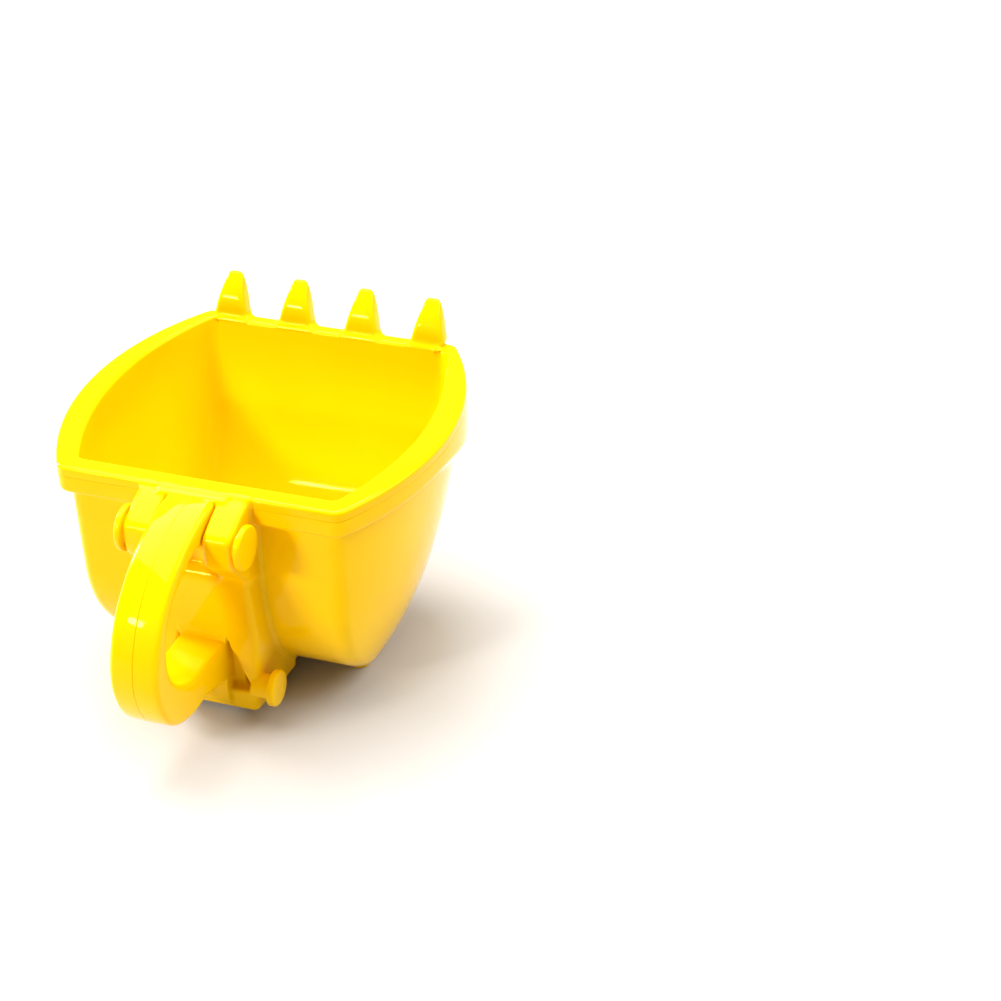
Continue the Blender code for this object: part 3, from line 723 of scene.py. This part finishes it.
HANDLE_HALF_WIDTH = 7.0
CREST_ROUND = 1.6
OPENING_ROUND = 1.5
LINE_HALF = 0.14            # the line between the two halves
LINE_EDGE_DEPTH = 0.05
LINE_DEPTH = 0.5
CROWN = ((5.2, 0.06), (6.95, 0.4))      # (x, depth): the outer face falls away towards its edge
SPAN_STEPS = 9
# (y, z) points of the handle's outer and inner curve, in step with each other
CREST = ((46.4, 71.4), (50.0, 71.3), (55.0, 71.0), (64.0, 69.0), (74.0, 64.6), (83.0, 57.3),
         (88.8, 48.5), (91.4, 38.5), (89.4, 29.0), (84.0, 21.5), (75.0, 17.8), (64.0, 17.2),
         (54.0, 14.0), (46.0, 10.0))
OPENING = ((46.4, 57.0), (50.0, 57.2), (54.0, 58.0), (61.5, 63.6), (71.0, 60.6), (78.6, 56.2),
           (83.2, 49.5), (84.2, 41.2), (82.0, 35.0), (77.5, 30.8), (71.0, 28.0), (62.0, 27.0),
           (54.0, 26.9), (46.0, 26.9))


def catmull_rom(points, steps):
    """A smooth curve through the points, with that many steps in each span."""
    ends = np.array([points[0], *points, points[-1]])
    t = np.linspace(0, 1, steps, endpoint=False)[:, None]
    curve = [0.5 * (2 * b + (c - a) * t + (2 * a - 5 * b + 4 * c - d) * t ** 2
                    + (3 * b - a - 3 * c + d) * t ** 3)
             for a, b, c, d in zip(ends, ends[1:], ends[2:], ends[3:])]
    return np.concatenate(curve + [ends[-1:]])


def make_handle(side):
    """One half of the D-loop, from the centre line to its side face."""
    sign = 1 if side == "left" else -1
    outer, inner = catmull_rom(CREST, SPAN_STEPS), catmull_rom(OPENING, SPAN_STEPS)
    half = HANDLE_HALF_WIDTH
    rows = []
    for crest, opening in zip(outer, inner):
        depth = np.linalg.norm(opening - crest)
        along = (opening - crest) / depth
        # (x, depth below the crest) round the half section
        corners = [(0.0, LINE_DEPTH), (0.0, LINE_EDGE_DEPTH), (LINE_HALF, 0.0), *CROWN,
                   (half, depth / 2), (half, depth), (0.0, depth)]
        points = [np.array([corner], float) for corner in corners]
        section = [points[0]] + curve_corner(points[1], points[2], points[3], 0.08, 0.2, 3)
        section += curve_corner(*points[3:6], CREST_ROUND, CREST_ROUND, 7)
        section += curve_corner(*points[5:8], OPENING_ROUND, OPENING_ROUND, 7) + [points[7]]
        flat = np.concatenate(section)
        place = crest + flat[:, 1:2] * along
        rows.append(np.column_stack([sign * flat[:, 0], place]))
    return finished("handle_%s_surface" % side, ring_skin("handle", rows), 40)


# ---------------------------------------------------------------- plastic

YELLOW = (0.98, 0.57, 0.0)


def make_plastic(name, seed):
    """Glossy moulded plastic: faint colour drift, smudged gloss, fine scratches and orange peel."""
    material = bpy.data.materials.new(name)
    material.use_nodes = True
    tree = material.node_tree
    shader = tree.nodes["Principled BSDF"]
    link = tree.links.new

    def node(kind, **inputs):
        made = tree.nodes.new(kind)
        for key, value in inputs.items():
            made.inputs[key.replace("_", " ")].default_value = value
        return made

    where = node("ShaderNodeTexCoord")
    shifted = node("ShaderNodeMapping")
    shifted.inputs["Location"].default_value = (seed * 0.37, seed * 0.19, seed * 0.53)
    link(where.outputs["Object"], shifted.inputs["Vector"])

    def noise(scale, detail, roughness=0.5, vector=shifted):
        made = node("ShaderNodeTexNoise", Scale=scale, Detail=detail, Roughness=roughness)
        link(vector.outputs[0], made.inputs["Vector"])
        return made.outputs["Fac"]

    def ranged(value, low, high, from_low=0.0, from_high=1.0):
        made = tree.nodes.new("ShaderNodeMapRange")
        made.inputs["From Min"].default_value = from_low
        made.inputs["From Max"].default_value = from_high
        made.inputs["To Min"].default_value = low
        made.inputs["To Max"].default_value = high
        link(value, made.inputs["Value"])
        return made.outputs["Result"]

    def maths(operation, first, second):
        made = tree.nodes.new("ShaderNodeMath")
        made.operation = operation
        for socket, value in zip(made.inputs, (first, second)):
            if isinstance(value, float):
                socket.default_value = value
            else:
                link(value, socket)
        return made.outputs[0]

    # colour: a slow drift between a fuller and a lighter yellow, worn pale along sharp edges
    drift = tree.nodes.new("ShaderNodeMix")
    drift.data_type = "RGBA"
    drift.inputs["A"].default_value = (YELLOW[0] * 0.97, YELLOW[1] * 0.96, 0.0, 1)
    drift.inputs["B"].default_value = (YELLOW[0], YELLOW[1] * 1.04, 0.001, 1)
    link(ranged(noise(26.0, 3.0), 0.0, 1.0, 0.35, 0.65), drift.inputs["Factor"])
    geometry = tree.nodes.new("ShaderNodeNewGeometry")
    worn = ranged(geometry.outputs["Pointiness"], 0.0, 0.25, 0.53, 0.62)
    edge = tree.nodes.new("ShaderNodeMix")
    edge.data_type = "RGBA"
    edge.inputs["B"].default_value = (1.0, 0.72, 0.003, 1)
    link(worn, edge.inputs["Factor"])
    link(drift.outputs["Result"], edge.inputs["A"])
    link(edge.outputs["Result"], shader.inputs["Base Color"])

    # scratches: thin lines where a stretched noise crosses one value
    stretched = node("ShaderNodeMapping")
    stretched.inputs["Rotation"].default_value = (0.4, 0.9, seed)
    stretched.inputs["Scale"].default_value = (1.0, 14.0, 3.0)
    link(shifted.outputs[0], stretched.inputs["Vector"])
    line = maths("ABSOLUTE", maths("SUBTRACT", noise(60.0, 2.0, 0.6, stretched), 0.5), 0.0)
    scratch = ranged(line, 1.0, 0.0, 0.0, 0.006)
    patches = ranged(noise(45.0, 1.0), 0.0, 1.0, 0.52, 0.62)
    scratch = maths("MULTIPLY", scratch, patches)

    smudge = ranged(noise(70.0, 4.0, 0.6), 0.03, 0.08, 0.35, 0.7)
    rough = maths("ADD", smudge, maths("MULTIPLY", scratch, 0.12))
    link(maths("ADD", rough, maths("MULTIPLY", worn, 0.15)), shader.inputs["Roughness"])

    peel = node("ShaderNodeBump", Strength=0.12, Distance=0.00002)
    link(noise(900.0, 2.0), peel.inputs["Height"])
    cut = node("ShaderNodeBump", Strength=0.15, Distance=0.00001)
    cut.invert = True
    link(scratch, cut.inputs["Height"])
    link(peel.outputs["Normal"], cut.inputs["Normal"])
    link(cut.outputs["Normal"], shader.inputs["Normal"])

    shader.inputs["IOR"].default_value = 1.38
    shader.inputs["Specular IOR Level"].default_value = 0.42
    shader.inputs["Specular Tint"].default_value = (1.0, 0.9, 0.12, 1)
    return material


# ---------------------------------------------------------------- build the pieces

shell_plastic = make_plastic("shell_plastic", 1.0)
liner_plastic = make_plastic("liner_plastic", 2.0)
fitting_plastic = make_plastic("fitting_plastic", 3.0)
handle_plastic = make_plastic("handle_plastic", 4.0)

stand_for(make_shell(), shell_plastic, "outer_shell")
stand_for(make_liner(), liner_plastic, "inner_liner")
for tooth in range(1, 5):
    stand_for(make_tooth(tooth), shell_plastic, "tooth_%d" % tooth)
stand_for(make_bracket(), fitting_plastic, "hitch_bracket")
for side in ("left", "right"):
    stand_for(make_handle(side), handle_plastic, "handle_" + side)
    for level in ("upper", "lower"):
        pin_name = "%s_pin_%s" % (level, side)
        stand_for(make_pin(pin_name), fitting_plastic, pin_name)
    for row in ("front", "rear"):
        foot = "foot_%s_%s" % (row, side)
        stand_for(make_foot(foot), shell_plastic, foot)


# ---------------------------------------------------------------- floor, light and camera

FLOOR_SIZE = 6.0            # metres
AIM_Z = 0.04                # the softboxes look at this height
# direction from the mug, distance, width and height in metres, power in watts
SOFTBOXES = {
    "key_softbox": ((0.41, 0.77, 0.49), 0.9, 0.16, 0.07, 3.9),
    "left_softbox": ((0.95, -0.22, 0.42), 1.1, 0.20, 0.32, 10.5),
    "back_softbox": ((0.25, -0.22, 1.0), 1.4, 1.4, 1.4, 43.0),
    "right_softbox": ((-0.8, -0.3, 0.75), 1.2, 0.8, 0.8, 11.0),
    "front_softbox": ((0.1, 1.0, 0.35), 1.5, 1.5, 1.0, 2.0),
}
WORLD_STRENGTH = 0.20


def make_floor():
    """A plain pale sheet, a little uneven in tone."""
    bpy.ops.mesh.primitive_grid_add(x_subdivisions=8, y_subdivisions=8, size=FLOOR_SIZE)
    floor = bpy.context.object
    floor.name = "studio_floor"
    material = bpy.data.materials.new("floor_paper")
    material.use_nodes = True
    tree = material.node_tree
    shader = tree.nodes["Principled BSDF"]
    grain = tree.nodes.new("ShaderNodeTexNoise")
    grain.inputs["Scale"].default_value = 3.0
    tint = tree.nodes.new("ShaderNodeMix")
    tint.data_type = "RGBA"
    tint.inputs["A"].default_value = (0.53, 0.518, 0.50, 1)
    tint.inputs["B"].default_value = (0.56, 0.547, 0.53, 1)
    tree.links.new(grain.outputs["Fac"], tint.inputs["Factor"])
    tree.links.new(tint.outputs["Result"], shader.inputs["Base Color"])
    shader.inputs["Roughness"].default_value = 0.45
    shader.inputs["Specular IOR Level"].default_value = 0.3
    floor.data.materials.append(material)


def add_softbox(name, direction, distance, width, height, power):
    """A rectangular light that looks at the mug from a direction."""
    lamp = bpy.data.lights.new(name, "AREA")
    lamp.shape = "RECTANGLE"
    lamp.size, lamp.size_y = width, height
    lamp.energy = power
    light = bpy.data.objects.new(name, lamp)
    aim = Vector((0, 0, AIM_Z))
    light.location = Vector(direction).normalized() * distance + aim
    light.rotation_euler = (aim - light.location).to_track_quat("-Z", "Y").to_euler()
    bpy.context.scene.collection.objects.link(light)


def make_light():
    """A dim even surround and the softboxes."""
    world = bpy.data.worlds.new("studio")
    world.use_nodes = True
    background = world.node_tree.nodes["Background"]
    background.inputs["Color"].default_value = (1.0, 0.99, 0.97, 1)
    background.inputs["Strength"].default_value = WORLD_STRENGTH
    bpy.context.scene.world = world
    for name, box in SOFTBOXES.items():
        add_softbox(name, *box)


CAMERA_PLACE = (-229.55, 465.12, 369.87)
CAMERA_AZIMUTH = 199.04     # degrees about Z; 0 looks along +Y
CAMERA_TILT = -32.86        # degrees; negative looks down
CAMERA_ROLL = -1.18
CAMERA_LENS = 75.79
SENSOR_WIDTH = 36.0


def make_camera():
    """The camera, looking down at the handle's side of the mug."""
    camera = bpy.data.objects.new("camera", bpy.data.cameras.new("camera"))
    camera.data.lens = CAMERA_LENS
    camera.data.sensor_width = SENSOR_WIDTH
    camera.data.clip_start = 0.01
    turn = (Matrix.Rotation(math.radians(CAMERA_AZIMUTH), 4, "Z")
            @ Matrix.Rotation(math.radians(90.0 + CAMERA_TILT), 4, "X")
            @ Matrix.Rotation(math.radians(CAMERA_ROLL), 4, "Z"))
    x, y, z = CAMERA_PLACE
    camera.matrix_world = Matrix.Translation(Vector((x, y + MOUTH_Y, z)) * MM) @ turn
    bpy.context.scene.collection.objects.link(camera)
    bpy.context.scene.camera = camera


make_floor()
make_light()
make_camera()
bpy.context.scene.view_settings.view_transform = "Standard"
